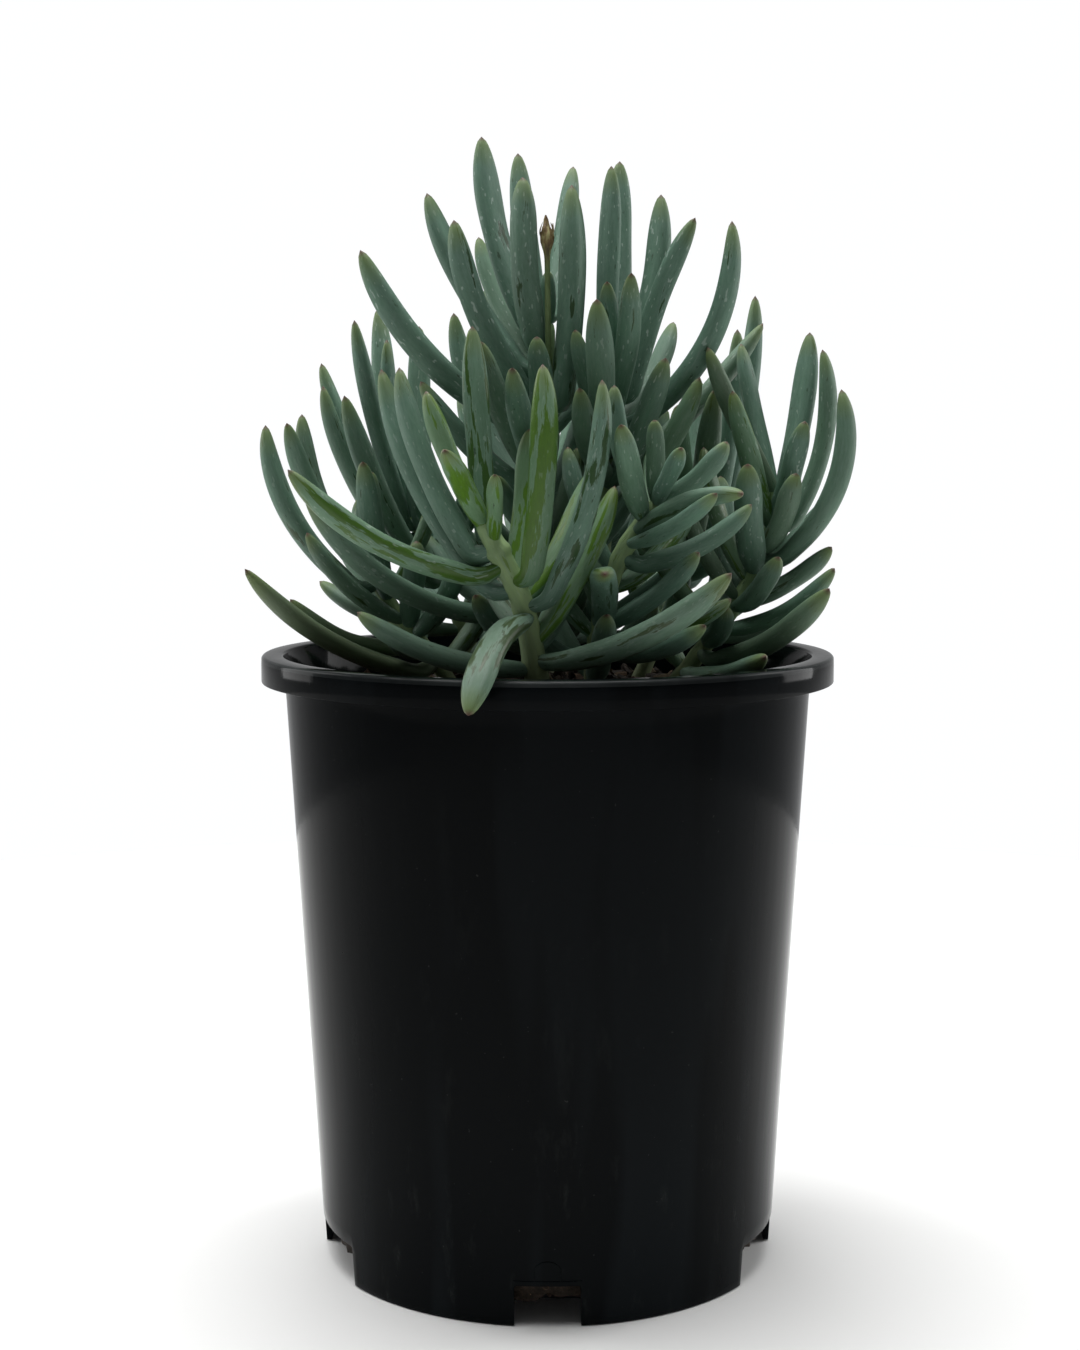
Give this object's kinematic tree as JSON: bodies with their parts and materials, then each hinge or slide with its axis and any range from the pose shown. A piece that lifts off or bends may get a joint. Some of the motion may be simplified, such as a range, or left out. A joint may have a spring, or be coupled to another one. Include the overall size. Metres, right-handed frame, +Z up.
{
  "type": "potted blue chalk sticks plant",
  "caption": "Upright succulent with finger-like blue-grey leaves on branching shoots, rooted in potting mix in a tall round nursery pot with a rolled rim and drainage notches.",
  "frame": {"origin": "on the pot's axis in the plane of its foot, at the centre of the bottom of the bounding box", "axes": "+Z up along the pot's axis; -Y towards the front of the pot, where the narrow drainage notch is; +X to the right seen from the front"},
  "size_m": [0.1567, 0.1717, 0.2989],
  "materials": {
    "pot_plastic": "glossy black moulded plastic with light scuffs",
    "mix": "coarse dark potting mix of composted bark and peat",
    "leaf": "matt waxy bloom over green, rubbed off in streaks, yellow-green tips",
    "stem": "pale green young stems, duller and browner near the mix, with small bloomed leaves",
    "dried_flower": "dry and brown on a thin green stalk"
  },
  "bodies": {
    "root": {"back_leaf_01": "leaf", "back_leaf_02": "leaf", "back_left_leaf_01": "leaf", "back_left_leaf_02": "leaf", "back_left_leaf_03": "leaf", "back_left_leaf_04": "leaf", "back_left_leaf_05": "leaf", "back_left_shoot": "stem", "back_right_leaf_01": "leaf", "back_right_leaf_02": "leaf", "back_right_leaf_03": "leaf", "back_right_shoot": "stem", "back_shoot": "stem", "front_leaf_01": "leaf", "front_leaf_02": "leaf", "front_leaf_03": "leaf", "front_leaf_04": "leaf", "front_leaf_05": "leaf", "front_leaf_06": "leaf", "front_leaf_07": "leaf", "front_leaf_08": "leaf", "front_right_leaf_01": "leaf", "front_right_leaf_02": "leaf", "front_right_leaf_03": "leaf", "front_right_shoot": "stem", "front_shoot": "stem", "left_leaf_01": "leaf", "left_leaf_02": "leaf", "left_leaf_03": "leaf", "left_leaf_04": "leaf", "left_shoot": "stem", "main_leaf_01": "leaf", "main_leaf_02": "leaf", "main_leaf_03": "leaf", "main_leaf_04": "leaf", "main_leaf_05": "leaf", "main_leaf_06": "leaf", "main_leaf_07": "leaf", "main_leaf_08": "leaf", "main_leaf_09": "leaf", "main_leaf_10": "leaf", "main_leaf_11": "leaf", "main_shoot": "stem", "pot": "pot_plastic", "potting_mix": "mix", "right_leaf_01": "leaf", "right_leaf_02": "leaf", "right_leaf_03": "leaf", "right_leaf_04": "leaf", "right_leaf_05": "leaf", "right_shoot": "stem", "spent_flower": "dried_flower", "twin_leaf_01": "leaf", "twin_leaf_02": "leaf", "twin_leaf_03": "leaf", "twin_leaf_04": "leaf", "twin_leaf_05": "leaf", "twin_leaf_06": "leaf", "twin_leaf_07": "leaf", "twin_shoot": "stem"}
  },
  "joints": []
}
